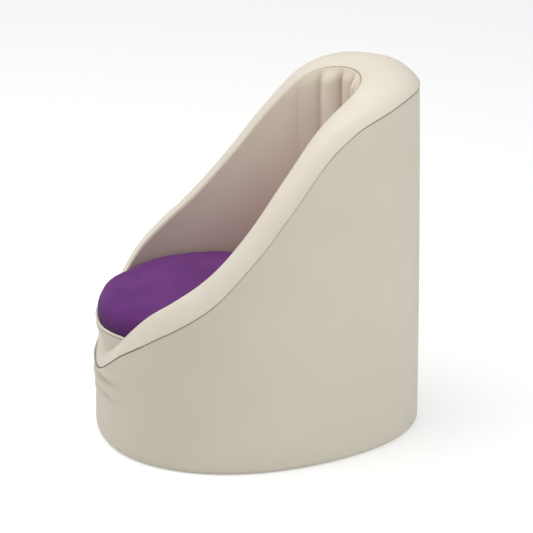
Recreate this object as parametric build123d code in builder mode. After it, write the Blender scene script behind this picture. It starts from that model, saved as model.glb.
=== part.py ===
from build123d import *
import math
import os

# A child's round tub chair: an upholstered foam wall that rises from a low front sill to a
# high back, with a drum-shaped seat block standing in its well.
# Millimetres, +Z up, the back towards +Y, the floor at Z 0.
# Directions around the plan are angles in degrees, from 0 at the middle of the back to 180
# at the middle of the front.

os.makedirs("parts", exist_ok=True)

# Overall sizes
length = 600.0
middle_width = 498.0
back_height = 710.0
seat_height = 269.0

# Wall of the tub
wall_back = 108.0
wall_side = 52.0
wall_front = 18.0
outer_egg_share = -0.183
inner_egg_share = -0.163
rim_drop = 40.0
rim_drop_wall = 60.0
inner_seam_drop = 4.0
sill_dip = 60.0
dip_start_degrees = 128.0

# Side view of the rim: places along half the length, and heights over the back's height
rim_place_shares = (-1.0, -0.78, -0.56, -0.33, -0.11, 0.11, 0.34, 0.56, 0.78, 1.0)
rim_height_shares = (0.286, 0.379, 0.456, 0.54, 0.65, 0.78, 0.902, 0.958, 0.983, 1.0)
# Cross-section of the rim: places over the wall's thickness, and how much of the fall to
# the inner and to the outer seam is reached there
rim_across_shares = (0.0, 0.08, 0.25, 0.48, 0.68, 0.86, 1.0)
inner_fall_shares = (1.0, 0.35, 0.0, 0.0, 0.0, 0.0, 0.0)
outer_fall_shares = (0.0, 0.0, 0.0, 0.08, 0.28, 0.6, 1.0)

# Covers, wadding and fits
skin = 1.5
wadding = 10.0
wadding_wall_share = 0.25
layer_gap = 0.3
band_gap = 0.6
foam_gap = 0.9
base_cloth_thickness = 1.2
hem_width = 26.0

# Base board
board_thickness = 18.0
board_roundover = 12.0
roundover_turns = (0.0, 22.5, 45.0, 67.5, 90.0)

# Gathered folds of the inner cover at the middle of the back
fold_count = 5
fold_depth = 7.0
fold_spread_degrees = 50.0
fold_steps = 4
fold_fade_share = 0.6
fold_height_shares = (0.0, 0.45, 0.68, 0.85, 1.0)
fold_depth_shares = (0.0, 0.0, 0.3, 0.72, 1.0)

# Seat block
well_clearance = 4.5
seat_rest_gap = 0.3
seat_bulge = 12.0
bulge_rise = 80.0
seat_crown = 9.0
top_edge_height = 15.0
piping_height = 5.0
piping_stand = 2.4
topper_thickness = 38.0
# The seat's top: scale of the plan, and how much of the edge's and crown's height it has
top_scale_shares = (1.0, 1.003, 0.99, 0.96, 0.88, 0.7, 0.4, 0.04)
edge_rise_shares = (0.0, 0.45, 0.8, 1.0, 1.0, 1.0, 1.0, 1.0)
crown_rise_shares = (0.0, 0.0, 0.0, 0.05, 0.23, 0.51, 0.84, 1.0)
# The bead of the piping: how far it stands out, up its height
bead_height_shares = (0.0, 0.15, 0.5, 0.85, 1.0)
bead_stand_shares = (0.0, 0.7, 1.0, 0.7, 0.0)
# Levels of the drum's side, over its height
drum_level_shares = (0.0, 0.42, 0.6, 0.8, 1.0)

# Directions beyond the folds in which the wall's cross-section is drawn
side_stations = (59, 68, 77, 86, 95, 104, 113, 122, 131, 140, 149, 157, 165, 172, 180)

half_length = length / 2
half_width = middle_width / 2
inner_half_width = half_width - wall_side
inner_half_length = (length - wall_back - wall_front) / 2
inner_centre_y = (wall_front - wall_back) / 2
board_bottom = base_cloth_thickness + skin
board_top = board_bottom + board_thickness
seat_bottom = board_top + seat_rest_gap
piping_top = seat_height - top_edge_height
piping_bottom = piping_top - piping_height
topper_bottom = seat_height - topper_thickness
fold_pitch = fold_spread_degrees * 2 / fold_count


def smooth_step(value, start, end):
    """A smooth rise from 0 at start to 1 at end."""
    share = min(1.0, max(0.0, (value - start) / (end - start)))
    return share * share * (3 - 2 * share)


def read_table(places, values, place):
    """Straight-line reading of a table of values between its places."""
    for i in range(len(places) - 1):
        if place <= places[i + 1]:
            part = (place - places[i]) / (places[i + 1] - places[i])
            return values[i] + part * (values[i + 1] - values[i])
    return values[-1]


def all_stations():
    """Directions of the wall's cross-sections from back to front: several to each fold."""
    step = fold_pitch / fold_steps
    folds = [step * i for i in range(round(fold_spread_degrees / step) + 1)]
    return folds + [angle for angle in side_stations if angle > fold_spread_degrees + step / 2]


stations = all_stations()
around = stations + [360 - angle for angle in reversed(stations) if 0 < angle < 180]


def egg_point(angle, across, along, egg_share, centre_y=0.0):
    """A point of an egg-shaped plan: an ellipse that widens towards the front."""
    turn = math.radians(angle)
    wide = across * math.sin(turn) * (1 + egg_share * math.cos(turn))
    return wide, centre_y + along * math.cos(turn)


def outer_point(angle):
    return egg_point(angle, half_width, half_length, outer_egg_share)


def inner_point(angle):
    return egg_point(angle, inner_half_width, inner_half_length, inner_egg_share, inner_centre_y)


def wall_thickness(angle):
    return math.dist(outer_point(angle), inner_point(angle))


def wadding_thickness(angle):
    return min(wadding, wadding_wall_share * wall_thickness(angle))


def rim_profile(y):
    """Height of the rim's crest in the side view, smooth through the table's places."""
    places = [share * half_length for share in rim_place_shares]
    heights = [share * back_height for share in rim_height_shares]
    last = len(places) - 1
    y = min(max(y, places[0]), places[last])
    i = max(k for k in range(last) if places[k] <= y)

    def slope(k):
        low, high = max(k - 1, 0), min(k + 1, last)
        return (heights[high] - heights[low]) / (places[high] - places[low])

    span = places[i + 1] - places[i]
    t = (y - places[i]) / span
    start = (1 - t) ** 2 * (heights[i] * (1 + 2 * t) + span * slope(i) * t)
    end = t**2 * (heights[i + 1] * (3 - 2 * t) + span * slope(i + 1) * (t - 1))
    return start + end


def rim_heights(angle):
    """Heights of the rim at each place of its cross-section."""
    inner, outer = inner_point(angle), outer_point(angle)
    slim = min(1.0, wall_thickness(angle) / rim_drop_wall)
    dip = sill_dip * smooth_step(angle, dip_start_degrees, 180)
    heights = []
    for share, inner_fall, outer_fall in zip(
        rim_across_shares, inner_fall_shares, outer_fall_shares
    ):
        crest = rim_profile(inner[1] + share * (outer[1] - inner[1])) - dip
        fall = inner_seam_drop * inner_fall + rim_drop * outer_fall
        heights.append(crest - fall * slim)
    return heights


def rim_height(angle, across):
    """Height of the rim at a distance across the wall, straight between its places."""
    return read_table(rim_across_shares, rim_heights(angle), across / wall_thickness(angle))


def rim_line(angle, depth, inset_in, inset_out):
    """Points along the rim from inside to outside, lying depth below its face."""
    run = wall_thickness(angle) - inset_in - inset_out
    places = [inset_in + share * run for share in rim_across_shares]
    return [(across, rim_height(angle, across) - depth) for across in places]


def fold_reach(angle):
    """The most that a fold can push outwards here: the folds fade out to each side."""
    fade_start = fold_spread_degrees * fold_fade_share
    return fold_depth * (1 - smooth_step(angle, fade_start, fold_spread_degrees))


def fold_depth_at(angle):
    """Depth of the gathered folds at the seam."""
    return fold_reach(angle) * (0.5 - 0.5 * math.cos(math.tau * (angle / fold_pitch + 0.5)))


def inner_face(angle, inset, top):
    """Points up the inner face, pushed outwards by the folds and by inset."""
    points = []
    for height_share, depth_share in zip(fold_height_shares, fold_depth_shares):
        across = inset + depth_share * fold_depth_at(angle)
        points.append((across, board_top + height_share * (top - board_top)))
    return points


def wall_plane(angle):
    """Upright plane across the wall: X runs from its inner to its outer face, Y is up."""
    inner, outer = inner_point(angle), outer_point(angle)
    outwards = Vector(outer[0] - inner[0], outer[1] - inner[1], 0)
    return Plane(origin=(*inner, 0), x_dir=outwards, z_dir=outwards.cross(Vector(0, 0, 1)))


def wall_section(angle, points):
    """Cross-section of the wall with straight edges through the points."""
    place = wall_plane(angle).from_local_coords
    return Face(Wire.make_polygon([place(Vector(*point)) for point in points], close=True))


def foam_section(angle):
    inset = skin + wadding_thickness(angle) + 2 * layer_gap
    top = rim_line(angle, inset + foam_gap, inset, skin + layer_gap)
    return wall_section(angle, top + [(top[-1][0], board_top), (inset, board_top)])


def rim_wadding_section(angle):
    depth = skin + layer_gap
    upper = rim_line(angle, depth, depth + fold_reach(angle), depth)
    lower = [(x, z - wadding_thickness(angle)) for x, z in reversed(upper)]
    return wall_section(angle, upper + lower)


def inner_wadding_section(angle):
    inset = skin + layer_gap
    depth = skin + wadding_thickness(angle) + 2 * layer_gap
    back = inset + wadding_thickness(angle)
    top = min(rim_height(angle, inset), rim_height(angle, back)) - depth
    return wall_section(angle, inner_face(angle, inset, top) + [(back, top), (back, board_top)])


def inner_cover_section(angle):
    top = rim_height(angle, 0) - skin - band_gap
    return wall_section(
        angle, inner_face(angle, 0, top) + list(reversed(inner_face(angle, skin, top)))
    )


def rim_band_section(angle):
    upper = rim_line(angle, 0, 0, 0)
    return wall_section(angle, upper + [(x, z - skin) for x, z in reversed(upper)])


def roundover(edge, bottom, radius):
    """Points of a quarter turn from a flat bottom up to an upright edge."""
    turns = [math.radians(turn) for turn in roundover_turns]
    return [
        (edge - radius * (1 - math.sin(turn)), bottom + radius * (1 - math.cos(turn)))
        for turn in turns
    ]


def outer_cover_section(angle):
    thick = wall_thickness(angle)
    top = rim_height(angle, thick) - skin - layer_gap
    hem_end = thick - board_roundover - skin - hem_width
    outer_turn = roundover(thick, base_cloth_thickness, board_roundover + skin)
    inner_turn = roundover(thick - skin, board_bottom, board_roundover)
    outside = [(hem_end, base_cloth_thickness)] + outer_turn + [(thick, top)]
    inside = [(thick - skin, top)] + inner_turn[::-1] + [(hem_end, board_bottom)]
    return wall_section(angle, outside + inside)


def plan_section(height, points):
    """A level face with straight edges through the points."""
    with BuildSketch(Plane.XY.offset(height)) as section:
        with BuildLine():
            Polyline(*points, close=True)
        make_face()
    return section.sketch


def outer_plan(height, inset):
    """Plan of the tub's outside, drawn in by inset across the wall."""
    points = []
    for angle in around:
        inner, outer = inner_point(angle), outer_point(angle)
        share = 1 - inset / wall_thickness(angle)
        points.append(tuple(a + share * (b - a) for a, b in zip(inner, outer)))
    return plan_section(height, points)


def well_edge(angle, draw):
    """A point of the well's plan, drawn in along the plan's normal."""
    before, after = inner_point(angle - 3), inner_point(angle + 3)
    run = math.dist(before, after)
    x, y = inner_point(angle)
    return x + draw * (after[1] - before[1]) / run, y + draw * (before[0] - after[0]) / run


def seat_points(height, inset=0.0):
    """Plan of the seat block at a height: it fills the well, and above the rim it bulges."""
    points = []
    for angle in around:
        rim = rim_height(min(angle, 360 - angle), 0)
        bulge = seat_bulge * smooth_step(min(height, topper_bottom), rim, rim + bulge_rise)
        points.append(well_edge(angle, well_clearance + inset - bulge))
    return points


def seat_plan(height, inset=0.0):
    return plan_section(height, seat_points(height, inset))


def top_rings(depth):
    """Rings up the rounded edge and crown of the seat's top, lying depth below its face."""
    rings = []
    for scale, edge_rise, crown_rise in zip(top_scale_shares, edge_rise_shares, crown_rise_shares):
        rise = top_edge_height * edge_rise + seat_crown * crown_rise
        shrunk = max(scale - depth / inner_half_width, top_scale_shares[-1] / 2)
        height = piping_top + rise - depth * edge_rise
        rings.append([
            Vector(x * shrunk, inner_centre_y + (y - inner_centre_y) * shrunk, height)
            for x, y in seat_points(piping_top)
        ])
    return rings


def pad(rings):
    """A solid with flat faces between level rings of one shape at several scales."""
    faces = [Face(Wire.make_polygon(rings[0])), Face(Wire.make_polygon(rings[-1]))]
    for low, high in zip(rings, rings[1:]):
        for i in range(len(low)):
            faces.append(Face(Wire.make_polygon([low[i - 1], low[i], high[i], high[i - 1]])))
    return Solid(Shell(faces))


# Base board under the wall and the seat block, rounded where the cover wraps it
with BuildPart() as base_board:
    edge = roundover(-skin - layer_gap, board_bottom, board_roundover)
    lower = [outer_plan(height, -place) for place, height in edge]
    loft(sections=lower + [outer_plan(board_top, skin + layer_gap)], ruled=True)

# Cloth under the base, which lies on the floor
with BuildPart() as base_cloth:
    add(outer_plan(0, skin + board_roundover))
    extrude(amount=base_cloth_thickness)

# Foam wall of the tub
with BuildPart() as wall_foam:
    loft(sections=[foam_section(angle) for angle in stations], ruled=True)
    mirror(about=Plane.YZ)

# Wadding that plumps the rim
with BuildPart() as rim_wadding:
    loft(sections=[rim_wadding_section(angle) for angle in stations], ruled=True)
    mirror(about=Plane.YZ)

# Wadding behind the inner cover, pressed thin behind its folds
with BuildPart() as inner_wadding:
    loft(sections=[inner_wadding_section(angle) for angle in stations], ruled=True)
    mirror(about=Plane.YZ)

# Inner cover with its gathered folds
with BuildPart() as inner_cover:
    loft(sections=[inner_cover_section(angle) for angle in stations], ruled=True)
    mirror(about=Plane.YZ)

# Band over the rim, between the inner and outer seams
with BuildPart() as rim_band:
    loft(sections=[rim_band_section(angle) for angle in stations], ruled=True)
    mirror(about=Plane.YZ)

# Outer cover, wrapped under the board as a hem
with BuildPart() as outer_cover:
    loft(sections=[outer_cover_section(angle) for angle in stations], ruled=True)
    mirror(about=Plane.YZ)

# Cloth under the seat block
with BuildPart() as seat_base_cloth:
    add(seat_plan(seat_bottom))
    extrude(amount=base_cloth_thickness)

side_bottom = seat_bottom + base_cloth_thickness
drum_levels = [side_bottom + share * (topper_bottom - side_bottom) for share in drum_level_shares]

# Side cover of the drum
with BuildPart() as seat_side_cover:
    side_levels = drum_levels + [piping_bottom]
    loft(sections=[seat_plan(height) for height in side_levels], ruled=True)
    loft(
        sections=[seat_plan(height, skin) for height in side_levels],
        ruled=True,
        mode=Mode.SUBTRACT,
    )

# Piping between the drum's side and its top
with BuildPart() as seat_piping:
    bead = zip(bead_height_shares, bead_stand_shares)
    loft(
        sections=[
            seat_plan(piping_bottom + rise * piping_height, -stand * piping_stand)
            for rise, stand in bead
        ],
        ruled=True,
    )
    add(seat_plan(piping_bottom, skin))
    extrude(amount=piping_height, mode=Mode.SUBTRACT)

# Firm foam of the drum
with BuildPart() as seat_foam:
    loft(sections=[seat_plan(height, skin + layer_gap) for height in drum_levels], ruled=True)

# Soft foam topper, crowned under the top cover
with BuildPart() as seat_topper:
    rings = top_rings(skin + layer_gap)
    add(pad([[Vector(point.X, point.Y, topper_bottom) for point in rings[0]]] + rings))

# Top cover of the seat
with BuildPart() as seat_top_cover:
    add(pad(top_rings(0)))
    add(pad(top_rings(skin)), mode=Mode.SUBTRACT)

base_board.part.label = "base_board"
base_cloth.part.label = "base_cloth"
wall_foam.part.label = "wall_foam"
rim_wadding.part.label = "rim_wadding"
inner_wadding.part.label = "inner_wadding"
inner_cover.part.label = "inner_cover"
rim_band.part.label = "rim_band"
outer_cover.part.label = "outer_cover"
seat_base_cloth.part.label = "seat_base_cloth"
seat_side_cover.part.label = "seat_side_cover"
seat_piping.part.label = "seat_piping"
seat_foam.part.label = "seat_foam"
seat_topper.part.label = "seat_topper"
seat_top_cover.part.label = "seat_top_cover"

export_step(base_board.part, "parts/base_board.step")
export_step(base_cloth.part, "parts/base_cloth.step")
export_step(wall_foam.part, "parts/wall_foam.step")
export_step(rim_wadding.part, "parts/rim_wadding.step")
export_step(inner_wadding.part, "parts/inner_wadding.step")
export_step(inner_cover.part, "parts/inner_cover.step")
export_step(rim_band.part, "parts/rim_band.step")
export_step(outer_cover.part, "parts/outer_cover.step")
export_step(seat_base_cloth.part, "parts/seat_base_cloth.step")
export_step(seat_side_cover.part, "parts/seat_side_cover.step")
export_step(seat_piping.part, "parts/seat_piping.step")
export_step(seat_foam.part, "parts/seat_foam.step")
export_step(seat_topper.part, "parts/seat_topper.step")
export_step(seat_top_cover.part, "parts/seat_top_cover.step")
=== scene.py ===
# %% [markdown]
# # A child's upholstered tub chair
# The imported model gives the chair's true size: foam, wadding, board and covers, as plain
# solids. This lesson dresses it. Every cover is worked out again as a fine surface, with its
# seams, puffs, gathers and creases, and gets a finish made of nodes.

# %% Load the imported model
import math

import bpy
import numpy as np
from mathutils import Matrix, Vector


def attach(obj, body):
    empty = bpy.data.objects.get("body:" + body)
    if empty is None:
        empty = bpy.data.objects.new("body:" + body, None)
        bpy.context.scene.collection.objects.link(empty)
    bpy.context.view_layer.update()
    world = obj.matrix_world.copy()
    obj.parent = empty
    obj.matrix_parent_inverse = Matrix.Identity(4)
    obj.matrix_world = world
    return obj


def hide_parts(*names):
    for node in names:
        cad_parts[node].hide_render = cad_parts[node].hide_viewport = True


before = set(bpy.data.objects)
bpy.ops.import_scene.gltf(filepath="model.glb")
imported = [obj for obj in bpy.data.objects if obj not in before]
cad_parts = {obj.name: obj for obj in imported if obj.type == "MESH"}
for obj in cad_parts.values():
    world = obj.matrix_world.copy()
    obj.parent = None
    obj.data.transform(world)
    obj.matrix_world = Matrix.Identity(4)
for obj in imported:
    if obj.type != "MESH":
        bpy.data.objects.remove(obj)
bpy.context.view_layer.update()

# %% [markdown]
# ## The camera
# The photograph was taken from the chair's left side, a little towards its front, with a long
# lens from above the rim. A long lens keeps upright lines almost parallel. The camera is
# placed by two angles and a distance, and it aims at a point beside the chair's middle, so
# that the chair stands in the picture where it does in the photograph.

# %% Place the camera
CAMERA_AZIMUTH, CAMERA_ELEVATION, CAMERA_DISTANCE = math.radians(85), math.radians(22.6), 14.0
VIEW_WIDTH, SENSOR_WIDTH = 0.9910, 36.0
AIM_HEIGHT, AIM_RIGHT, AIM_DOWN = 0.35, 0.0178, 0.0354

towards_camera = np.array([
    math.sin(CAMERA_AZIMUTH) * math.cos(CAMERA_ELEVATION),
    -math.cos(CAMERA_AZIMUTH) * math.cos(CAMERA_ELEVATION),
    math.sin(CAMERA_ELEVATION),
])
picture_right = np.array([math.cos(CAMERA_AZIMUTH), math.sin(CAMERA_AZIMUTH), 0])
picture_up = np.cross(towards_camera, picture_right)
aim = np.array([0, 0, AIM_HEIGHT]) + AIM_RIGHT * picture_right - AIM_DOWN * picture_up

camera_data = bpy.data.cameras.new("camera")
camera_data.sensor_width = SENSOR_WIDTH
camera_data.lens = SENSOR_WIDTH * CAMERA_DISTANCE / VIEW_WIDTH
camera = bpy.data.objects.new("camera", camera_data)
bpy.context.scene.collection.objects.link(camera)
camera.location = aim + CAMERA_DISTANCE * towards_camera
camera.rotation_euler = (math.pi / 2 - CAMERA_ELEVATION, 0, CAMERA_AZIMUTH)
bpy.context.scene.camera = camera
bpy.context.scene.view_settings.view_transform = "Standard"
print("camera at", [round(v, 3) for v in camera.location], "lens", round(camera_data.lens, 1))

# %% [markdown]
# ## The chair's plan
# Seen from above, the wall runs between two egg shapes, wide at the front and narrower at
# the back. An egg is an ellipse whose width is stretched a little more at one end. Angles
# start at the middle of the back and go once round, so that 180 degrees is the front.

# %% Sizes and plan
HALF_LENGTH, HALF_WIDTH, BACK_HEIGHT, SEAT_HEIGHT = 0.300, 0.249, 0.710, 0.269
WALL_BACK, WALL_SIDE, WALL_FRONT = 0.108, 0.052, 0.018
OUTER_EGG, INNER_EGG = -0.183, -0.163
BOARD_TOP, SLIM_WALL = 0.0207, 0.045
INNER_HALF_WIDTH = HALF_WIDTH - WALL_SIDE
INNER_HALF_LENGTH = HALF_LENGTH - (WALL_BACK + WALL_FRONT) / 2
INNER_CENTRE = (WALL_FRONT - WALL_BACK) / 2


def egg(turn, across, along, share, centre=0.0):
    """An egg: x is a sine stretched by a share of the cosine, and y is a cosine."""
    wide = across * np.sin(turn) * (1 + share * np.cos(turn))
    return np.stack([wide, centre + along * np.cos(turn)], axis=-1)


def outer_plan(turn):
    """The wall's outside in plan."""
    return egg(turn, HALF_WIDTH, HALF_LENGTH, OUTER_EGG)


def inner_plan(turn):
    """The wall's inside in plan."""
    return egg(turn, INNER_HALF_WIDTH, INNER_HALF_LENGTH, INNER_EGG, INNER_CENTRE)


def wall_thickness(turn):
    """Distance between the two plans at a direction."""
    return np.linalg.norm(outer_plan(turn) - inner_plan(turn), axis=-1)


def outwards(turn):
    """Unit step from the inside of the wall to its outside."""
    return (outer_plan(turn) - inner_plan(turn)) / wall_thickness(turn)[..., None]


def slimness(turn):
    """1 where the wall is thick and less where it is slim: rolled edges shrink with it."""
    return np.minimum(1, wall_thickness(turn) / SLIM_WALL)


print("wall at back, side and front:", wall_thickness(np.radians([0, 90, 180])).round(4))

# %% [markdown]
# ## The rim
# From the side the rim falls in an S from the high back to the low front. That line is a
# table of heights with a smooth curve through it, and the front sill dips below the line.
# Across the wall the rim is softly domed: it falls a little to the inner seam and far more
# to the outer one, and less of both where the wall is thin.

# %% Rim heights
RIM_PLACES = np.array([-1.0, -0.78, -0.56, -0.33, -0.11, 0.11, 0.34, 0.56, 0.78, 1.0])
RIM_PLACES = RIM_PLACES * HALF_LENGTH
RIM_HEIGHTS = np.array([0.286, 0.379, 0.456, 0.54, 0.65, 0.78, 0.902, 0.958, 0.983, 1.0])
RIM_HEIGHTS = RIM_HEIGHTS * BACK_HEIGHT
ACROSS = np.array([0.0, 0.08, 0.25, 0.48, 0.68, 0.86, 1.0])
INNER_FALL = np.array([1.0, 0.35, 0.0, 0.0, 0.0, 0.0, 0.0]) * 0.004
OUTER_FALL = np.array([0.0, 0.0, 0.0, 0.08, 0.28, 0.6, 1.0]) * 0.040
SILL_DIP, DIP_START, DOMED_WALL = 0.060, math.radians(128), 0.060


def smooth_table(places, values, at):
    """A curve through a table: each cubic piece leaves its ends along their neighbours' line."""
    at = np.clip(at, places[0], places[-1])
    i = np.clip(np.searchsorted(places, at, side="right") - 1, 0, len(places) - 2)
    k = np.arange(len(places))
    low, high = np.maximum(k - 1, 0), np.minimum(k + 1, len(places) - 1)
    slope = (values[high] - values[low]) / (places[high] - places[low])
    span = places[i + 1] - places[i]
    t = (at - places[i]) / span
    start = (1 - t) ** 2 * (values[i] * (1 + 2 * t) + span * slope[i] * t)
    return start + t**2 * (values[i + 1] * (3 - 2 * t) + span * slope[i + 1] * (t - 1))


def smooth_step(value, start, end):
    """A smooth rise from 0 at start to 1 at end."""
    share = np.clip((value - start) / (end - start), 0, 1)
    return share * share * (3 - 2 * share)


def from_back(turn):
    """Angle from the middle of the back, the same on both sides, 0 to half a turn."""
    return np.arccos(np.clip(np.cos(turn), -1, 1))


def rim_height(turn, across):
    """Height of the rim at a share of the way across the wall: side view less both falls."""
    place = inner_plan(turn) + across[..., None] * (outer_plan(turn) - inner_plan(turn))
    slim = np.minimum(1, wall_thickness(turn) / DOMED_WALL)
    fall = smooth_table(ACROSS, INNER_FALL, across) + smooth_table(ACROSS, OUTER_FALL, across)
    dip = SILL_DIP * smooth_step(from_back(turn), DIP_START, math.pi)
    return smooth_table(RIM_PLACES, RIM_HEIGHTS, place[..., 1]) - fall * slim - dip


both_ends = np.array([0, math.pi])
print("rim at back and front:", rim_height(both_ends, np.array([0.3, 0.3])).round(3))

# %% [markdown]
# ## From a grid of points to a mesh
# Every cover below is a grid: rows go from one edge of the cloth to the other, columns go
# once round the chair. The first helper joins the grid into quads. A second grid of numbers
# can ride along as an attribute, such as the distance to the nearest seam, for the finish to
# read. The second helper gives a cover its thickness, and the last one turns rows that are
# measured across the wall into points.

# %% Mesh helpers
COLUMNS, COVER_THICKNESS = 600, 0.0012
turn = np.linspace(0, 2 * math.pi, COLUMNS, endpoint=False)


def grid_mesh(name, points, turned=False, numbers=None, ends="open"):
    """Quads between neighbouring rows and columns; columns close, and ends may be capped."""
    rows, columns = points.shape[:2]
    index = np.arange(rows * columns).reshape(rows, columns)
    right = np.roll(index, -1, axis=1)
    quads = np.stack([index[:-1], right[:-1], right[1:], index[1:]], axis=-1).reshape(-1, 4)
    corners = points.reshape(-1, 3)
    faces = (quads[:, ::-1] if turned else quads).tolist()
    if ends == "capped":
        first, last = index[0].tolist(), index[-1].tolist()
        faces += [first if turned else first[::-1], last[::-1] if turned else last]
    mesh = bpy.data.meshes.new(name)
    mesh.from_pydata(corners.tolist(), [], faces)
    for label, values in (numbers or {}).items():
        attribute = mesh.attributes.new(label, "FLOAT", "POINT")
        flat = np.ascontiguousarray(values.reshape(-1), dtype=np.float32)
        attribute.data.foreach_set("value", flat)
    mesh.shade_smooth()
    mesh.validate()
    piece = bpy.data.objects.new(name, mesh)
    bpy.context.scene.collection.objects.link(piece)
    return piece


def give_thickness(piece):
    """A cover is a sheet with a real thickness, which lies on the inside of its face."""
    solid = piece.modifiers.new("thickness", "SOLIDIFY")
    solid.thickness = COVER_THICKNESS
    solid.offset = -1
    solid.use_even_offset = False
    return piece


def wall_points(rows):
    """Points from rows of two numbers: the distance out from the inner plan, and the height."""
    across, height = (np.stack([row[k] for row in rows]) for k in (0, 1))
    place = inner_plan(turn) + across[..., None] * outwards(turn)
    return np.concatenate([place, height[..., None]], axis=-1)


print("columns round the chair:", COLUMNS)

# %% [markdown]
# ## Where the outer seam runs
# The band's outer seam doesn't keep to one depth below the rim. Behind the shoulder it
# climbs, on the steep part of each arm the band is pulled further down the wall, and towards
# the front it climbs again, so that the strip narrows to a tip. A second table holds how far
# the seam is shifted, by the angle from the middle of the back. The other sizes are the
# band's rolled edge, how far a cover tucks into a seam, how deep its hidden edge goes, and
# how far that edge steps back.

# %% Seam line
SEAM_ANGLES = np.radians([0, 12, 25, 41, 55, 64, 75, 88, 100, 138, 152, 161, 170, 180])
SEAM_SHIFTS = np.array([3, 5, 10, 9.5, 8, 0, -12, -11, -3, -2, 8, 6.5, 1, 0]) * 0.001
EDGE, TUCK, GROOVE, STEP_BACK = 0.0030, 0.0018, 0.007, 0.0004


def seam_shift(turn):
    """How far the outer seam lies above its plain line: the table, the same on both sides."""
    return smooth_table(SEAM_ANGLES, SEAM_SHIFTS, from_back(turn))


def seam_height(turn):
    """Height of the outer seam: the rim's outer edge, shifted, less the band's rolled edge."""
    return rim_height(turn, np.ones(turn.shape)) + seam_shift(turn) - EDGE * slimness(turn)


print("outer seam at back, side, front:", seam_height(np.radians([0, 90, 180])).round(3))

# %% [markdown]
# ## The band over the rim
# On the real chair this is one long strip of vinyl, sewn to the inner and to the outer cover
# and plumped by wadding. Where the strip bends round the high back it is a little too long
# for the inner seam, so it is eased in with small puckers that fade towards the outside.
# They come in two patches, each with its middle and width in degrees and its share of the
# full height. The wadding is uneven, which a table of soft dents gives: each has an angle
# and a place across the band, a width in degrees and across, and how far it sinks.

# %% Puckers and dents
PUCKER_RADIUS, PUCKER_STEP, PUCKER_HEIGHT = 0.235, 0.0125, 0.0017
PUCKER_PATCHES = ((27, 24, 1.0), (338, 18, 0.55))
PUCKER_WANDER = ((0.9, 71, 1.0), (0.7, 143, 2.2))


def bell(angle, middle, wide):
    """A bell curve of an angle, with its middle and width in degrees."""
    return np.exp(-((angle - math.radians(middle)) / math.radians(wide)) ** 2)


def puckers(turn, across):
    """Small radial ripples: a sine along the seam whose pitch wanders by two slower sines."""
    along = turn * PUCKER_RADIUS
    wander = sum(size * np.sin(along * rate + start) for size, rate, start in PUCKER_WANDER)
    wave = np.sin(2 * math.pi * along / PUCKER_STEP + wander)
    patches = sum(share * bell(turn, middle, wide) for middle, wide, share in PUCKER_PATCHES)
    fade = smooth_step(across, -0.05, 0.22) * (1 - smooth_step(across, 0.3, 0.95))
    return wave * patches * fade


DENTS = (
    (114, 0.50, 3.0, 0.16, 0.0016), (119, 0.62, 3.4, 0.14, -0.0012),
    (108, 0.40, 4.0, 0.20, -0.0008), (131, 0.45, 4.5, 0.22, 0.0010),
    (246, 0.50, 3.5, 0.20, 0.0014), (240, 0.60, 4.0, 0.20, -0.0010),
    (96, 0.55, 5.0, 0.25, 0.0008), (62, 0.55, 7.0, 0.30, 0.0009),
    (300, 0.50, 6.0, 0.30, 0.0009),
)


def dents(turn, across):
    """Soft hollows and swells of the wadding: one bell shape for each row of the table."""
    total = np.zeros(np.broadcast(turn, across).shape)
    for angle, middle, wide, deep, size in DENTS:
        off = ((turn - math.radians(angle)) / math.radians(wide)) ** 2
        total -= size * np.exp(-(off + ((across - middle) / deep) ** 2))
    return total


print("dents in the band:", len(DENTS))

# %% [markdown]
# ## The band's own surface
# At both seams the band rolls over a small round edge into the groove, and where the outer
# seam lies lower it first drops straight down. Each row is a reach out from the inner seam
# and a depth below the rim. The distances to the inner seam are spread out, so that its dark
# line is the thinner one.

# %% Rim band
INNER_ROLL, LEAST_DROP, BAND_PROUD = 0.0028, 0.0004, 0.0012
BACK_PUFF, FRONT_PUFF = 0.0004, 0.0040
SEAM_SPREAD, INNER_ROWS = 2.2, 20


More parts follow.
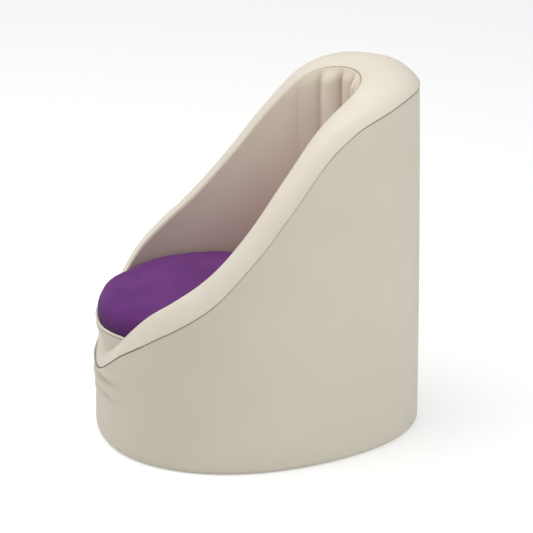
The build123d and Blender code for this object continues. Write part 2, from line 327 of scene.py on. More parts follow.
def band_points():
    """Across the rim: rolled inner edge, domed middle, and an outer edge that rolls under."""
    thick, slim = wall_thickness(turn), slimness(turn)
    inner, outer = INNER_ROLL * slim, EDGE * slim
    drop = np.maximum(LEAST_DROP, -seam_shift(turn))
    quarter = np.linspace(0, math.pi / 2, 7)
    under = np.radians([18, 36, 54, 72])
    middle = thick - inner - outer
    rows = [(inner * (1 - math.cos(b)), inner * (1 - math.sin(b))) for b in quarter[:-1]]
    rows += [(inner + share * middle, np.zeros(COLUMNS)) for share in np.linspace(0, 1, 30)]
    rows += [
        (thick - outer * (1 - math.cos(b)), outer * (1 - math.sin(b)))
        for b in quarter[-2::-1]
    ]
    rows += [(thick, outer + share * drop) for share in (0.33, 0.67, 1)]
    rows += [
        (thick - outer * (1 - math.cos(b)), outer * (1 + math.sin(b)) + drop)
        for b in under
    ]
    reach, down = (np.stack([row[k] for row in rows]) for k in (0, 1))
    across = np.clip(reach / thick, 0, 1)
    around = np.broadcast_to(turn, across.shape)
    proud = BAND_PROUD * smooth_step(across, 0.7, 1)
    front = smooth_step(from_back(turn), math.radians(40), math.radians(75))
    puff = (BACK_PUFF + FRONT_PUFF * front * slim) * np.sin(math.pi * across**0.8)
    lift = np.maximum(0, seam_shift(turn)) * smooth_step(across, 0.45, 1)
    height = rim_height(around, across) + lift - down + puff
    height = height + PUCKER_HEIGHT * puckers(around, across) + dents(around, across)
    place = inner_plan(around) + (reach + proud)[..., None] * outwards(around)
    face = np.concatenate([place, height[..., None]], axis=-1)
    first = face[:1] - np.array([0, 0, GROOVE])
    to_outer = np.maximum(0, thick - reach + outer + drop - down)
    near_inner = np.arange(len(rows))[:, None] < INNER_ROWS
    seam = np.where(near_inner, reach * SEAM_SPREAD, to_outer)
    return np.concatenate([first, face]), np.concatenate([seam[:1] * 0, seam])


points, seam = band_points()
rim_band = give_thickness(grid_mesh("rim_band_vinyl", points, numbers={"seam": seam}))
lowest, highest = points[..., 2].min().round(3), points[..., 2].max().round(3)
print("rim band:", points.shape, "height", lowest, highest)

# %% [markdown]
# ## Creases in the outer cover
# At the front the outer cover sags into three soft creases, the lowest of them faint, where
# the low sill squeezes the foam. Each crease has its height in the middle, its rise towards
# the side, its depth, and the angles between which it runs.

# %% Creases
CREASES = (
    (0.119, 0.014, 0.0062, -6, 36),
    (0.096, 0.004, 0.0050, -6, 38),
    (0.068, -0.006, 0.0018, -4, 28),
)
CREASE_WIDTH = 0.0055


def creases(turn, height):
    """Soft folds below the sill: each is a valley with a ridge above it, along a short line."""
    depth = np.zeros(np.broadcast(turn, height).shape)
    away = math.pi - from_back(turn)
    for level, rise, deep, low, high in CREASES:
        off = (height - level - rise * away / math.radians(30)) / CREASE_WIDTH
        along = smooth_step(away, math.radians(low), math.radians(4))
        along = along * (1 - smooth_step(away, math.radians(high * 0.35), math.radians(high)))
        depth += deep * along * (0.9 * np.exp(-((off - 2.0) ** 2) / 2.2) - np.exp(-off**2))
    return depth


print("creases at the front:", len(CREASES))

# %% [markdown]
# ## The outer cover
# The outside is one smooth piece of vinyl, pulled down over the foam and under the base
# board. The profile starts at the hem under the board, rounds the bottom edge, climbs the
# wall with a slight swell, and rolls into the seam below the band. At four corners, given
# by their angles from the back, it stands out a little near the floor.

# %% Outer cover
BOTTOM, ROUND, HEM, SWELL, CORNER_SWELL = 0.0012, 0.0115, 0.026, 0.0018, 0.0045
SWELL_ANGLES, SWELL_SPREAD = (148, 40), 20


def outer_points():
    """Up the wall: hem, quarter turn, swelling wall, and a rolled edge into the seam."""
    thick, top = wall_thickness(turn), seam_height(turn)
    tuck = TUCK * slimness(turn)
    bend = np.linspace(0, math.pi / 2, 10)
    rise = np.linspace(0, 1, 58)[1:-1]
    roll = np.linspace(0, math.pi / 2, 6)[1:]
    front = smooth_step(from_back(turn), math.radians(120), math.radians(165))
    rows = [(thick - ROUND - HEM * share, np.full(COLUMNS, BOTTOM)) for share in (1, 0.6, 0.3)]
    corners = sum(bell(from_back(turn), angle, SWELL_SPREAD) for angle in SWELL_ANGLES)
    for b in bend:
        out = thick - ROUND * (1 - math.sin(b)) + CORNER_SWELL * corners * math.sin(b)
        rows.append((out, np.full(COLUMNS, BOTTOM + ROUND * (1 - math.cos(b)))))
    low, high = BOTTOM + ROUND, top - tuck
    for share in rise:
        swell = SWELL * math.sin(math.pi * share) ** 0.8 * (1 - 0.9 * front)
        swell = swell + CORNER_SWELL * (1 - share) * corners
        height = low + share * (high - low)
        rows.append((thick + swell + creases(turn, height), height))
    rows += [(thick - tuck * (1 - math.cos(b)), top - tuck * (1 - math.sin(b))) for b in roll]
    rows.append((thick - tuck - STEP_BACK, top - tuck - GROOVE))
    points = wall_points(rows)
    return points, np.maximum(0, top - points[..., 2])


points, seam = outer_points()
outer_cover = give_thickness(grid_mesh("outer_cover_vinyl", points, numbers={"seam": seam}))
print("outer cover:", points.shape, "widest", np.abs(points[..., 0]).max().round(4))

# %% [markdown]
# ## Folds inside the back
# Inside the tub the cover is gathered at the top of the back: the cloth is longer than the
# seam, and its spare width hangs in upright folds that open out and die away lower down.
# Each fold is a round ridge between two sharp creases. The size of a sine has just that
# shape: it turns smoothly at the top and meets the next wave in a corner at the bottom.

# %% Folds
FOLD_PITCH, FOLD_FULL, FOLD_SPREAD = math.radians(13.6), math.radians(26), math.radians(66)


def signed_turn(turn):
    """Angle from the middle of the back, below 0 on one side and above 0 on the other."""
    return (turn + math.pi) % (2 * math.pi) - math.pi


def fold_reach(turn):
    """1 at the middle of the back, falling to 0 at the sides, where the cloth lies flat."""
    return 1 - smooth_step(np.abs(signed_turn(turn)), FOLD_FULL, FOLD_SPREAD)


def fold_wave(turn):
    """Size of a sine taken to a power: sharp creases at 0, round ridges at 1, flat sides."""
    signed = signed_turn(turn)
    phase = math.pi * signed / FOLD_PITCH + 0.35 * np.sin(signed * 7.0 + 0.6)
    ridge = np.abs(np.sin(phase)) ** 0.7 * (0.8 + 0.2 * np.sin(signed * 11.0 + 2.0))
    return ridge * fold_reach(turn)


print("folds across the back:", round(2 * FOLD_SPREAD / FOLD_PITCH))

# %% [markdown]
# ## The inner cover
# The inside is a plain wall from the board up to the inner seam. The folds push it inwards,
# most just below the seam, and are gone half way down. A second number rides along: it is
# largest in the creases between the folds, a mask for painted shade in them.

# %% Inner cover
FOLD_HEIGHT, SEAM_DEPTH = 0.0150, 0.0010
FOLD_TOP, FOLD_FADE, FOLD_END = 0.028, 0.03, 0.36


def inner_points():
    """Up the inside: a straight wall pushed inwards by the folds, then a roll into the seam."""
    top = rim_height(turn, np.zeros(COLUMNS)) - SEAM_DEPTH
    tuck = TUCK * slimness(turn)
    rows, crease_shade_rows = [], []
    for share in np.linspace(0, 1, 70) ** 0.85:
        height = BOARD_TOP + share * (top - tuck - BOARD_TOP)
        below = top - height
        size = 1 - smooth_step(below, FOLD_FADE, FOLD_END)
        size = size * smooth_step(below, 0.0, FOLD_TOP)
        rows.append((-FOLD_HEIGHT * size * fold_wave(turn), height))
        # How deep each point lies in a crease between folds: the mask for painted crease shade.
        crease_shade_rows.append(size * (1 - fold_wave(turn)) ** 1.7 * fold_reach(turn))
    folded = rows[-1][0]
    for b in np.linspace(0, math.pi / 2, 6)[1:]:
        rows.append((folded + tuck * (1 - math.cos(b)), top - tuck * (1 - math.sin(b))))
    rows.append((folded + tuck + STEP_BACK, top - tuck - GROOVE))
    points = wall_points(rows)
    crease_shade_mask = np.stack(crease_shade_rows + [crease_shade_rows[-1] * 0] * (len(rows) - len(crease_shade_rows)))
    return points, np.maximum(0, top - points[..., 2]) * SEAM_SPREAD, crease_shade_mask


points, seam, crease_shade_mask = inner_points()
numbers = {"seam": seam, "crease_shade_mask": crease_shade_mask}
inner_cover = grid_mesh("inner_cover_vinyl", points, turned=True, numbers=numbers)
give_thickness(inner_cover)
print("inner cover:", points.shape)

# %% [markdown]
# ## The seat block's plan
# The seat is a separate drum in the well. Where the arms hold it, it follows the well, and
# above the low front rim its soft side bulges out: a little as soon as the rim comes near,
# most at the middle of the front, and a little more at the two front corners. Each bulge has
# its size, and the heights over the rim or the piping between which it grows. All rows are
# drawn in from the well along the plan's normal.

# %% Seat plan
WELL_CLEARANCE, SEAT_BOTTOM = 0.0045, 0.021
CUSHION_SIDE_HEIGHT, PIPING_HEIGHT = 0.046, 0.005
PIPING_TOP = SEAT_HEIGHT - CUSHION_SIDE_HEIGHT
PIPING_BOTTOM = PIPING_TOP - PIPING_HEIGHT
EDGE_BULGE, EDGE_START, EDGE_FULL = 0.004, -0.055, -0.004
FRONT_BULGE, FRONT_START, FRONT_FULL = 0.018, -0.004, 0.052
CORNER_BULGE, CORNER_START, CORNER_FULL = 0.0065, -0.012, 0.004
CORNER_ANGLE, CORNER_SPREAD = 156, 7
SOFT_START, SOFT_FULL = -0.004, 0.008


def seat_front(turn):
    """1 at the middle of the front, 0 where the arms hold the seat."""
    return smooth_step(from_back(turn), math.radians(112), math.radians(172))


def seat_plan(turn, height, inset):
    """The well drawn in by its clearance and an inset, less a bulge that grows above the rim."""
    step = 0.02
    before, after = inner_plan(turn - step), inner_plan(turn + step)
    run = np.linalg.norm(after - before, axis=-1)
    normal = np.stack([after[..., 1] - before[..., 1], before[..., 0] - after[..., 0]], axis=-1)
    rim = rim_height(turn, np.zeros(turn.shape))
    level = np.minimum(height, PIPING_BOTTOM)
    bulge = EDGE_BULGE * smooth_step(level, rim + EDGE_START, rim + EDGE_FULL)
    above = smooth_step(level, rim + FRONT_START, rim + FRONT_FULL)
    bulge = bulge + FRONT_BULGE * seat_front(turn) * above
    corner = CORNER_BULGE * bell(from_back(turn), CORNER_ANGLE, CORNER_SPREAD)
    corner = corner * smooth_step(height, rim + CORNER_START, rim + CORNER_FULL)
    soft = smooth_step(height, PIPING_TOP + SOFT_START, PIPING_TOP + SOFT_FULL)
    bulge = bulge + corner * (0.5 + 0.5 * soft)
    inwards = (WELL_CLEARANCE + inset - bulge)[..., None]
    return inner_plan(turn) + normal / run[..., None] * inwards


def ring(height, inset, front_inset=0.0):
    """One level row of the seat block, drawn in by an inset and by one more at the front."""
    level = np.full(COLUMNS, float(height))
    place = seat_plan(turn, level, inset + front_inset * seat_front(turn))
    return np.concatenate([place, level[:, None]], axis=-1)


print("seat block from", SEAT_BOTTOM, "to its piping at", round(PIPING_TOP, 4))

# %% [markdown]
# ## The drum's side and its piping
# The side cover starts turned in under the drum, rounds the bottom edge, climbs straight up
# and rolls in under the piping. The piping is a thin cord in a strip of vinyl, so it is a
# round bead.

# %% Seat side and piping
FOOT, FOOT_ROUND, TOP_ROUND = SEAT_BOTTOM + 0.0014, 0.005, 0.0025
FOOT_INSETS, HIDDEN_DROP, HIDDEN_INSET = (0.030, 0.006), 0.006, 0.0027
BEAD_RADIUS, BEAD_INSET, BEAD_DROP = 0.0027, 0.0006, 0.0002


def side_points():
    """Up the drum: a turned-in bottom edge, the side, and a small roll under the piping."""
    rows = [ring(FOOT, inset) for inset in FOOT_INSETS]
    for b in np.linspace(0, math.pi / 2, 6):
        rows.append(ring(FOOT + FOOT_ROUND * (1 - math.cos(b)), FOOT_ROUND * (1 - math.sin(b))))
    low, high = FOOT + FOOT_ROUND, PIPING_BOTTOM - TOP_ROUND
    for share in np.linspace(0, 1, 44)[1:]:
        rows.append(ring(low + share * (high - low), 0.0))
    for b in np.linspace(0, math.pi / 2, 6)[1:]:
        level = PIPING_BOTTOM - TOP_ROUND * (1 - math.sin(b))
        rows.append(ring(level, TOP_ROUND * (1 - math.cos(b))))
    rows.append(ring(PIPING_BOTTOM - HIDDEN_DROP, HIDDEN_INSET))
    return np.stack(rows)


def bead_points():
    """The piping: rows once round a thin bead, closed by the first row again."""
    middle = (PIPING_TOP + PIPING_BOTTOM) / 2 - BEAD_DROP
    bead = np.stack([
        ring(middle - BEAD_RADIUS * math.cos(b), BEAD_INSET - BEAD_RADIUS * math.sin(b))
        for b in np.linspace(0, 2 * math.pi, 17)[:-1]
    ])
    return np.concatenate([bead, bead[:1]])


points = side_points()
seam = np.maximum(0, PIPING_BOTTOM - points[..., 2])
seat_side = give_thickness(grid_mesh("seat_side_vinyl", points, numbers={"seam": seam}))
bead = bead_points()
far_from_seam = np.full(bead.shape[:2], 0.01)
seat_piping = grid_mesh("seat_piping_cord", bead, numbers={"seam": far_from_seam})
print("seat side:", points.shape, "piping:", bead.shape)

# %% [markdown]
# ## The purple cushion
# The top of the seat is a soft foam layer in a tight cover: a crowned pad with a rounded
# edge. Up its side it is a table of rows, each with its height, its inset, and one more
# inset at the front. Over the top the outline shrinks towards the middle while it rises
# first over the shoulder and then over the crown.

# %% Cushion's starting shape
SHOULDER, CROWN = 0.015, 0.012
EDGE_LEVEL = SEAT_HEIGHT - SHOULDER
CUSHION_SIDE = (
    (PIPING_TOP - 0.0065, 0.0040, 0.0), (PIPING_TOP - 0.0035, 0.0008, 0.0),
    (PIPING_TOP + 0.001, -0.0010, 0.0), (0.232, -0.0008, 0.0003), (0.239, -0.0008, 0.0012),
    (0.245, -0.0008, 0.0028), (0.250, -0.0008, 0.0052),
)
CUSHION_EDGE = (EDGE_LEVEL, 0.0004, 0.0076)
TOP_SCALE = np.array([1.0, 0.998, 0.985, 0.965, 0.93, 0.88, 0.8, 0.7, 0.58, 0.4, 0.2, 0.04])
EDGE_RISE = np.array([0.0, 0.40, 0.72, 0.90, 0.98, 1.0, 1.0, 1.0, 1.0, 1.0, 1.0, 1.0])
CROWN_RISE = np.array([0.0, 0.0, 0.0, 0.03, 0.1, 0.2, 0.34, 0.5, 0.66, 0.84, 0.96, 1.0])


def cushion_points():
    """A closed pad: flat underside, upright side, rounded shoulder and a low crown."""
    rows = [ring(*row) for row in CUSHION_SIDE]
    edge = ring(*CUSHION_EDGE)
    centre = np.array([0, INNER_CENTRE])
    for scale, edge_rise, crown_rise in zip(TOP_SCALE, EDGE_RISE, CROWN_RISE):
        row = edge.copy()
        row[:, :2] = centre + (edge[:, :2] - centre) * scale
        row[:, 2] = EDGE_LEVEL + SHOULDER * edge_rise + CROWN * crown_rise
        rows.append(row)
    return np.stack(rows)


cushion = grid_mesh("seat_cushion_purple", cushion_points(), ends="capped")
print("cushion before it is filled:", len(cushion.data.vertices), "corners")

# %% [markdown]
# ## Filling the cushion
# A cloth simulation makes the pad believable. The starting shape is remeshed into even
# squares and pumped up with air pressure and no gravity for twenty frames, and no point
# moves more than about two millimetres. The result is evened and divided once.

# %% Cushion filled with air
VOXEL, PRESSURE, MOST_MOVE, LAST_FRAME = 0.0055, 4, 0.0022, 20


def place_of(piece):
    """Every corner of a piece as one numpy array."""
    corners = np.empty(len(piece.data.vertices) * 3)
    piece.data.vertices.foreach_get("co", corners)
    return corners.reshape(-1, 3)


def apply_modifiers(piece):
    """The modifiers' result becomes the piece's own mesh."""
    shown = piece.evaluated_get(bpy.context.evaluated_depsgraph_get())
    mesh = bpy.data.meshes.new_from_object(shown)
    piece.modifiers.clear()
    piece.data = mesh


def inflate(piece):
    """Remesh evenly, blow up with pressure, and let no point move too far."""
    remesh = piece.modifiers.new("even squares", "REMESH")
    remesh.mode, remesh.voxel_size = "VOXEL", VOXEL
    apply_modifiers(piece)
    before = place_of(piece)
    cloth = piece.modifiers.new("air", "CLOTH")
    cloth.settings.use_pressure = True
    cloth.settings.uniform_pressure_force = PRESSURE
    cloth.settings.effector_weights.gravity = 0
    cloth.point_cache.frame_start, cloth.point_cache.frame_end = 1, LAST_FRAME
    for step in range(1, LAST_FRAME + 1):
        bpy.context.scene.frame_set(step)
    apply_modifiers(piece)
    bpy.context.scene.frame_set(1)
    moved = place_of(piece) - before
    far = np.linalg.norm(moved, axis=1, keepdims=True)
    held = before + moved * np.minimum(1, MOST_MOVE / np.maximum(far, 1e-9))
    piece.data.vertices.foreach_set("co", held.reshape(-1))
    piece.data.update()
    print(piece.name, "moved up to", far.max().round(4), "and was held to", MOST_MOVE)


inflate(cushion)
even = cushion.modifiers.new("even", "SMOOTH")
even.factor, even.iterations = 0.5, 3
finer = cushion.modifiers.new("finer", "SUBSURF")
finer.levels = finer.render_levels = 1
cushion.data.shade_smooth()
print("cushion corners:", len(cushion.data.vertices))

# %% [markdown]
# ## Stitches
# Where the band meets the outer cover a line of top-stitching holds the seam flat. One
# stitch is a tiny capsule. All of them are worked out together: the seam's line is measured,
# a stitch is placed every few millimetres along it, and each lies along the line.

# %% Top-stitching
STITCH_PITCH, STITCH_LENGTH, STITCH_RADIUS = 0.0060, 0.0034, 0.00065
STITCH_SIDES, STITCH_OUT, STITCH_UP, LOOK_AHEAD = 6, 0.0012, 0.0013, 0.001
STITCH_ENDS = np.array([-0.5, -0.42, -0.2, 0.2, 0.42, 0.5]) * STITCH_LENGTH
STITCH_RADII = np.array([0.25, 0.8, 1.0, 1.0, 0.8, 0.25]) * STITCH_RADIUS


def band_lift(place):
    """Outwards and up, which is how the band's outer edge faces."""
    facing = place * np.array([1, 1, 0])
    facing /= np.linalg.norm(facing, axis=1, keepdims=True)
    return facing + np.array([0, 0, 1.2])


def stitches(name, line):
    """Capsules along a closed line: each lies along the line and on the band."""
    closed = np.concatenate([line, line[:1]])
    lengths = np.concatenate([[0], np.cumsum(np.linalg.norm(np.diff(closed, axis=0), axis=1))])
    count = int(lengths[-1] / STITCH_PITCH)
    at = (np.arange(count) + 0.5) * lengths[-1] / count
    after = (at + LOOK_AHEAD) % lengths[-1]
    place, ahead = (
        np.stack([np.interp(where, lengths, closed[:, k]) for k in range(3)], axis=1)
        for where in (at, after)
    )
    along = ahead - place
    along /= np.linalg.norm(along, axis=1, keepdims=True)
    side = np.cross(along, band_lift(place))
    side /= np.linalg.norm(side, axis=1, keepdims=True)
    up = np.cross(side, along)
    bend = np.linspace(0, 2 * math.pi, STITCH_SIDES + 1)[:-1]
    shape = (
        STITCH_ENDS[:, None, None] * along[:, None, None, :]
        + (STITCH_RADII[:, None] * np.cos(bend))[None, :, :, None] * side[:, None, None, :]
        + (STITCH_RADII[:, None] * np.sin(bend))[None, :, :, None] * up[:, None, None, :]
    ) + place[:, None, None, :]
    corners = len(STITCH_ENDS) * STITCH_SIDES
    one = np.arange(corners).reshape(len(STITCH_ENDS), STITCH_SIDES)
    right = np.roll(one, -1, axis=1)
    quads = np.stack([one[:-1], right[:-1], right[1:], one[1:]], axis=-1).reshape(-1, 4)
    starts = corners * np.arange(count)
    faces = (quads[None] + starts[:, None, None]).reshape(-1, 4).tolist()
    caps = one[0, ::-1], one[-1]
    faces += [(cap + start).tolist() for start in starts for cap in caps]
    mesh = bpy.data.meshes.new(name)
    mesh.from_pydata(shape.reshape(-1, 3).tolist(), [], faces)
    mesh.shade_smooth()
    piece = bpy.data.objects.new(name, mesh)
    bpy.context.scene.collection.objects.link(piece)
    return piece, count


line = np.concatenate([
    inner_plan(turn) + (wall_thickness(turn) + STITCH_OUT)[:, None] * outwards(turn),
    (seam_height(turn) + STITCH_UP)[:, None],
], axis=1)
seam_stitches, count = stitches("outer_seam_stitches", line)
print("stitches:", count)

# %% [markdown]
# ## Under the chair
# A dark cloth covers the board from below and hides the raw hem. The chair stands on it.
# The seat block has a cloth of its own, seen when it is lifted out.

# %% Underside cloths
BASE_CLOTH_INSET, SEAT_CLOTH_INSET, CLOTH_THICKNESS = 0.0135, 0.001, 0.0012


def flat_cloth(name, edge, level):
    """A thin level sheet: bottom edge, top edge, and both faces closed."""
    below, above = edge.copy(), edge.copy()
    below[:, 2], above[:, 2] = level, level + CLOTH_THICKNESS
    return grid_mesh(name, np.stack([below, above]), ends="capped")


base_edge = np.concatenate([
    inner_plan(turn) + (wall_thickness(turn) - BASE_CLOTH_INSET)[:, None] * outwards(turn),
    np.zeros((COLUMNS, 1)),
], axis=1)
base_cloth = flat_cloth("underside_cloth", base_edge, 0.0)
seat_edge = ring(SEAT_BOTTOM, SEAT_CLOTH_INSET)
seat_cloth = flat_cloth("seat_underside_cloth", seat_edge, SEAT_BOTTOM)
print("cloths:", base_cloth.name, seat_cloth.name)

# %% [markdown]
# ## Shader maths as Python
# A finish is a small graph of nodes. Two classes keep it readable. A Wire is one output of
# a node and takes part in sums, so `1 - mask * 0.3` adds its Math nodes. A Finish owns the
# material and makes every other node with one method.

# %% Wires and finishes
class Wire:
    """An output socket with Python's operators: each sum adds one Math node."""

    def __init__(self, finish, socket):
        self.finish, self.socket = finish, socket

    def maths(self, operation, *values):
        settings = {"operation": operation}
        return self.finish.node("ShaderNodeMath", settings, dict(enumerate(values)))

    def __add__(self, other):
        return self.maths("ADD", self, other)

    def __rsub__(self, other):
        return self.maths("SUBTRACT", other, self)

    def __mul__(self, other):
        return self.maths("MULTIPLY", self, other)

    __radd__, __rmul__ = __add__, __mul__


class Finish:
    """A material built from nodes, for one kind of surface."""

    def __init__(self, name):
        self.material = bpy.data.materials.new(name)
        self.material.use_nodes = True
        self.tree = self.material.node_tree
        self.tree.nodes.clear()
        self.here = self.node("ShaderNodeTexCoord", output="Object")

    def node(self, kind, settings=None, inputs=None, output=0):
        """Adds a node: its settings first, then values or wires for its sockets."""
        made = self.tree.nodes.new(kind)
        for name, value in (settings or {}).items():
            setattr(made, name, value)
        for place, value in (inputs or {}).items():
            if isinstance(value, Wire):
                self.tree.links.new(value.socket, made.inputs[place])
            else:
                made.inputs[place].default_value = value
        return Wire(self, made.outputs[output])

    def noise(self, size, detail=2.0, roughness=0.5):
        """Soft noise with features of about the given size in metres."""
        inputs = {"Vector": self.here, "Scale": 1 / size, "Detail": detail}
        inputs["Roughness"] = roughness
        return self.node("ShaderNodeTexNoise", {}, inputs, "Fac")

    def cells(self, size):
        """Distance to the middle of the nearest cell, for grain."""
        inputs = {"Vector": self.here, "Scale": 1 / size}
        return self.node("ShaderNodeTexVoronoi", {"feature": "F1"}, inputs, "Distance")

    def stretch(self, value, low, high, to_low=0.0, to_high=1.0):
        """Maps a range onto another and stops at its ends."""
        inputs = {0: value, 1: low, 2: high, 3: to_low, 4: to_high}
        return self.node("ShaderNodeMapRange", {"clamp": True}, inputs)

    def blend(self, share, first, second):
        """A colour between two others."""
        inputs = {0: share, 6: first, 7: second}
        return self.node("ShaderNodeMix", {"data_type": "RGBA"}, inputs, 2)

    def bump(self, height, strength, distance, under=None):
        """Relief from a height, on top of another relief."""
        inputs = {"Height": height, "Strength": strength, "Distance": distance}
        if under is not None:
            inputs["Normal"] = under
        return self.node("ShaderNodeBump", {}, inputs, "Normal")

    def surface(self, **inputs):
        """The shader itself: each name is one of its sockets, with spaces as underscores."""
        named = {name.replace("_", " "): value for name, value in inputs.items()}
        return self.done(self.node("ShaderNodeBsdfPrincipled", {}, named, "BSDF"))

    def done(self, shader):
        """Joins a shader to the output and hands the material over."""
        made = self.tree.nodes.new("ShaderNodeOutputMaterial")
        self.tree.links.new(shader.socket, made.inputs["Surface"])
        return self.material


def colour(red, green, blue):
    """A colour as a screen shows it, 0 to 255, turned into light."""
    screen = np.array([red, green, blue]) / 255
    light = np.where(screen <= 0.04045, screen / 12.92, ((screen + 0.055) / 1.055) ** 2.4)
    return (*light.tolist(), 1.0)


print("cream in light values:", [round(v, 3) for v in colour(222, 214, 196)])

# %% [markdown]
# ## Vinyl
# Upholstery vinyl is smooth and slightly glossy, with a pebble grain pressed into it that is
# about a millimetre across, and soft clouds where it is stretched over the foam. The groove
# of a seam is brown. Inside the tub the same cream is painted lighter against the tub's
# shade. With the distance below the seam it gets painted shade, warmer and then purplish as
# a painted reflection of the purple seat, and the creases get a painted tan shade.

# %% Vinyl finishes
def vinyl(name, light, shade, seam_tint, roughness, painted_light_tints=None):
    """Cream vinyl: clouds, pebble grain, darker seams, painted shade and reflection inside."""
    finish = Finish(name)
    clouds = finish.stretch(finish.noise(0.11, 3.0), 0.35, 0.65)
    fine = finish.stretch(finish.noise(0.004, 2.0), 0.3, 0.7)
    base = finish.blend(clouds * 0.7 + fine * 0.3, shade, light)
    seam = finish.node("ShaderNodeAttribute", {"attribute_name": "seam"}, {}, "Fac")
    # Inside the tub: painted shade below the seam, then a painted reflection of the purple seat,
    # and painted shade in the creases between the folds.
    if painted_light_tints is not None:
        painted_deep_shade, painted_purple_reflection, painted_crease_shade = painted_light_tints
        base = finish.blend(finish.stretch(seam, 0.10, 0.46), base, painted_deep_shade)
        base = finish.blend(finish.stretch(seam, 0.44, 1.05), base, painted_purple_reflection)
        crease_shade_mask = finish.node("ShaderNodeAttribute", {"attribute_name": "crease_shade_mask"}, {}, "Fac")
        base = finish.blend(crease_shade_mask * 0.8, base, painted_crease_shade)
    groove = finish.stretch(seam, 0.0003, 0.0022, 1.0, 0.0)
    tinted = finish.blend(groove * 0.95, base, seam_tint)
    relief = finish.bump(finish.cells(0.0011), 0.22, 0.00012)
    relief = finish.bump(finish.noise(0.018, 2.0), 0.10, 0.0012, relief)
    rough = roughness + 0.10 * (1 - clouds) + 0.06 * fine
    return finish.surface(
        Base_Color=tinted, Roughness=rough, Normal=relief,
        Specular_IOR_Level=0.42, Coat_Weight=0.0,
    )


SEAM_BROWN = colour(84, 64, 40)
wall_vinyl = vinyl("cream_vinyl", colour(215, 208, 192), colour(212, 205, 188), SEAM_BROWN, 0.42)
band_vinyl = vinyl("band_vinyl", colour(229, 222, 208), colour(225, 217, 202), SEAM_BROWN, 0.44)
# The inside is the same cream vinyl painted lighter than the outside, against the tub's shade.
# Its depth tints are painted shade, a painted purple reflection and crease shade.
inner_vinyl_painted_light = vinyl(
    "inner_vinyl_painted_light", colour(236, 226, 209), colour(230, 218, 199), SEAM_BROWN, 0.46,
    painted_light_tints=(colour(214, 190, 174), colour(206, 166, 176), colour(158, 134, 108)),
)
vinyl_pieces = (
    (outer_cover, wall_vinyl), (inner_cover, inner_vinyl_painted_light), (seat_side, wall_vinyl),
    (rim_band, band_vinyl), (seat_piping, band_vinyl),
)
for piece, material in vinyl_pieces:
    piece.data.materials.append(material)
print("vinyl pieces:", len(vinyl_pieces))

# %% [markdown]
# ## The purple cover
# The seat's cover is a matt, fine-grained stuff. Its colour comes mostly from tiny fibres,
# so it has almost no gloss, a faint speckle, and a soft light edge where the fibres are seen
# from the side. That edge is the shader's own sheen, with one value all over.

# %% Purple cover
def purple_cover():
    """Matt purple: speckle at two scales, painted shade down its side, fine relief, weak sheen.
    """
    finish = Finish("purple_cover")
    clouds = finish.stretch(finish.noise(0.07, 2.0), 0.35, 0.65)
    speckle = finish.stretch(finish.noise(0.0016, 3.0, 0.7), 0.30, 0.70)
    base = finish.blend(clouds * 0.4 + speckle * 0.6, colour(96, 42, 114), colour(116, 58, 132))
    level = finish.node("ShaderNodeSeparateXYZ", {}, {"Vector": finish.here}, "Z")
    # Painted shade: the side is coloured darker from the shoulder down to the piping.
    low = finish.stretch(level, PIPING_TOP, SEAT_HEIGHT - 0.008, 0.8, 0.0)
    base = finish.blend(low, base, colour(62, 24, 76))
    relief = finish.bump(finish.noise(0.0009, 2.0, 0.6), 0.35, 0.00025)
    relief = finish.bump(finish.cells(0.0021), 0.12, 0.0003, relief)
    return finish.surface(
        Base_Color=base, Roughness=0.78 + 0.12 * speckle, Normal=relief,
        Specular_IOR_Level=0.18, Sheen_Weight=0.05, Sheen_Roughness=0.5,
    )


cushion.data.materials.clear()
cushion.data.materials.append(purple_cover())
print("cushion finish:", cushion.data.materials[0].name)

# %% [markdown]
# ## Thread, cloth, foam, wadding and plywood
# The thread is a twisted tan cord. What lies inside the chair is seen only where a part is
# cut away or lifted, but it has its real finish too: open foam cells, fluffy wadding, the
# weave of the black base cloth, and the veneer of the board.

# %% Thread and inner finishes
def thread():
    """Twisted thread: fine bands across its length."""
    finish = Finish("seam_thread")
    twist = finish.noise(0.0006, 1.0)
    base = finish.blend(twist, colour(172, 155, 124), colour(206, 192, 164))
    return finish.surface(Base_Color=base, Roughness=0.55 + 0.2 * twist)


def foam(name, light, dark, cell):
    """Open cells: small dark pores in a pale body."""
    finish = Finish(name)
    pores = finish.stretch(finish.cells(cell), 0.1, 0.6)
    base = finish.blend(pores, dark, light)
    relief = finish.bump(pores, 0.5, 0.0006)
    return finish.surface(Base_Color=base, Roughness=0.9 + 0.05 * pores, Normal=relief)


def base_fabric():
    """Black woven cloth: two crossed waves give the threads."""
    finish = Finish("base_fabric")
    inputs = {"Vector": finish.here, "Scale": 260.0}
    warp, weft = (
        finish.node("ShaderNodeTexWave", {"bands_direction": direction}, inputs, "Fac")
        for direction in ("X", "Y")
    )
    weave = warp * 0.5 + weft * 0.5
    base = finish.blend(weave, colour(34, 34, 37), colour(66, 66, 70))
    relief = finish.bump(weave, 0.4, 0.0003)
    return finish.surface(Base_Color=base, Roughness=0.8 + 0.1 * weave, Normal=relief)


def plywood():
    """Veneer: long grain from noise that is squeezed across the board."""
    finish = Finish("plywood")
    stretched = {"Vector": finish.here, "Scale": (90, 6, 90)}
    squeezed = finish.node("ShaderNodeMapping", {"vector_type": "POINT"}, stretched)
    inputs = {"Vector": squeezed, "Scale": 1.0, "Detail": 5.0}
    grain = finish.node("ShaderNodeTexNoise", {}, inputs, "Fac")
    base = finish.blend(grain, colour(168, 130, 88), colour(214, 180, 134))
    relief = finish.bump(grain, 0.3, 0.0004)
    return finish.surface(Base_Color=base, Roughness=0.6 + 0.2 * grain, Normal=relief)


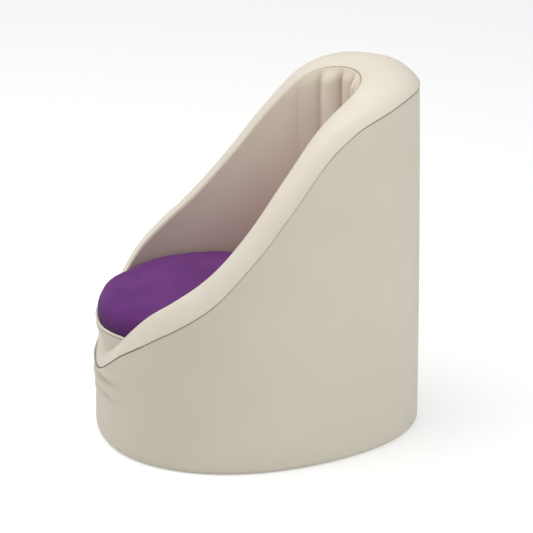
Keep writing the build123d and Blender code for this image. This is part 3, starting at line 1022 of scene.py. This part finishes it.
seam_stitches.data.materials.append(thread())
cloth_finish = base_fabric()
base_cloth.data.materials.append(cloth_finish)
seat_cloth.data.materials.append(cloth_finish)
foam_finish = foam("foam", colour(236, 226, 196), colour(204, 188, 148), 0.0022)
wadding_finish = foam("wadding", colour(245, 245, 242), colour(226, 226, 222), 0.0060)
carried = {
    "base_board": plywood(), "wall_foam": foam_finish, "seat_foam": foam_finish,
    "rim_wadding": wadding_finish, "inner_wadding": wadding_finish,
}
for node, material in carried.items():
    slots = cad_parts[node].material_slots
    for slot in slots:
        slot.material = material
    if not slots:
        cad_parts[node].data.materials.append(material)
print("carried-over nodes with finishes:", sorted(carried))

# %% [markdown]
# ## What moves with what
# The chair has two bodies: the tub, and the seat block that lifts out of it. Each new piece
# rides on one of them, and the solids that it stands for are hidden. A table lists each
# cover's flat cloth, how it is held and what it rests on, and the flat size is printed beside
# the area of the cover's face. The two underside cloths are ovals, which fill 0.78 of the
# rectangle that they are cut from.

# %% Bodies, replaced solids and cloth sizes
def area_of(piece):
    """Area of the cloth's face: half of the cross products of each quad's diagonals."""
    mesh = piece.data
    corners = place_of(piece)
    quads = np.empty(len(mesh.polygons) * 4, dtype=np.int64)
    mesh.polygons.foreach_get("vertices", quads)
    a, b, c, d = (corners[quads.reshape(-1, 4)[:, k]] for k in range(4))
    return float(0.5 * np.linalg.norm(np.cross(c - a, d - b), axis=1).sum())


for piece, body, nodes, slot in (
    (outer_cover, "tub", ("outer_cover",), "cream_vinyl"),
    (inner_cover, "tub", ("inner_cover",), "cream_vinyl"),
    (rim_band, "tub", ("rim_band",), "band_vinyl"),
    (seam_stitches, "tub", (), "band_vinyl"),
    (base_cloth, "tub", ("base_cloth",), "base_fabric"),
    (seat_side, "seat", ("seat_side_cover",), "cream_vinyl"),
    (seat_piping, "seat", ("seat_piping",), "band_vinyl"),
    (cushion, "seat", ("seat_top_cover", "seat_topper"), "purple_cover"),
    (seat_cloth, "seat", ("seat_base_cloth",), "base_fabric"),
):
    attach(piece, body)
    if nodes:
        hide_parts(*nodes)

for piece, flat, held, rests_on in (
    (outer_cover, (1.90, 0.76), "stretched", ["wall_foam"]),
    (inner_cover, (1.60, 0.68), "gathered", ["inner_wadding"]),
    (rim_band, (2.20, 0.13), "stretched", ["rim_wadding"]),
    (seat_side, (1.36, 0.27), "stretched", ["seat_foam"]),
):
    area = area_of(piece)
    print(piece.name, "cloth", flat, "area", round(area, 4))
for piece, rests_on in ((base_cloth, ["base_board"]), (seat_cloth, ["seat_foam"])):
    spread = place_of(piece)
    wide, long = (spread.max(axis=0) - spread.min(axis=0))[:2].tolist()
    0.78 * wide * long

# %% [markdown]
# ## Floor and light
# The chair stands on a plain white floor. The floor's own finish adds white for the camera
# and for what mirrors it, which keeps the picture's ground white without any more light on
# the chair, and still shows a soft shadow.

# %% Floor
FLOOR_REACH, FLOOR_GLOW = 14.0, 4.05


def white_floor():
    """A matt white that takes the shadow, and a tenth of plain white for the camera."""
    finish = Finish("floor_white")
    matt = finish.node("ShaderNodeBsdfDiffuse", {}, {"Color": (0.86, 0.86, 0.86, 1)}, "BSDF")
    glow = {"Color": (1, 1, 1, 1), "Strength": FLOOR_GLOW}
    white = finish.node("ShaderNodeEmission", {}, glow, "Emission")
    camera_sees = finish.node("ShaderNodeLightPath", output="Is Camera Ray")
    shiny_sees = finish.node("ShaderNodeLightPath", output="Is Glossy Ray")
    inputs = {0: camera_sees * 0.1 + shiny_sees * 0.08, 1: matt, 2: white}
    return finish.done(finish.node("ShaderNodeMixShader", {}, inputs, "Shader"))


floor_mesh = bpy.data.meshes.new("floor")
sides = ((-1, -1), (1, -1), (1, 1), (-1, 1))
floor_corners = [(x * FLOOR_REACH, y * FLOOR_REACH, 0) for x, y in sides]
floor_mesh.from_pydata(floor_corners, [], [(0, 1, 2, 3)])
floor = bpy.data.objects.new("floor", floor_mesh)
bpy.context.scene.collection.objects.link(floor)
floor_mesh.materials.append(white_floor())
print("floor:", 2 * FLOOR_REACH, "m across")

# %% [markdown]
# ## Lamps and world
# One large warm lamp hangs above and in front of the chair, a wide one fills from the
# camera's side, and a cool one lights the wall from beside the back. A pale world does the
# rest. Each lamp has a place, a point that it faces, a size, a power and a tint.

# %% Lamps and world
LAMPS = {
    "overhead": ((0.0, -0.95, 2.6), (0, 0, 0.3), 2.4, 45, (1, 0.975, 0.94)),
    "camera_fill": ((2.9, 1.3, 1.2), (0, 0, 0.3), 2.4, 10, (1, 0.99, 0.97)),
    "back_fill": ((1.6, 2.4, 1.4), (0, 0.1, 0.4), 1.8, 22, (0.94, 0.975, 1)),
}
WORLD_TINT, WORLD_STRENGTH = (0.97, 0.985, 1, 1), 0.44

for name, (place, target, size, power, tint) in LAMPS.items():
    light = bpy.data.lights.new(name, "AREA")
    light.size, light.energy, light.color = size, power, tint
    lamp = bpy.data.objects.new(name, light)
    bpy.context.scene.collection.objects.link(lamp)
    lamp.location = place
    lamp.rotation_euler = (Vector(target) - Vector(place)).to_track_quat("-Z", "Y").to_euler()

world = bpy.data.worlds.new("studio")
bpy.context.scene.world = world
world.use_nodes = True
sky = world.node_tree.nodes["Background"].inputs
sky["Color"].default_value, sky["Strength"].default_value = WORLD_TINT, WORLD_STRENGTH
print("lamps:", len(LAMPS))

# %% [markdown]
# ## Finish
# Last, the scene is brought up to date. The dressed chair must stay within the solid
# chair's box, apart from the little that cloth may stand proud.

# %% Update the scene
bpy.context.view_layer.update()
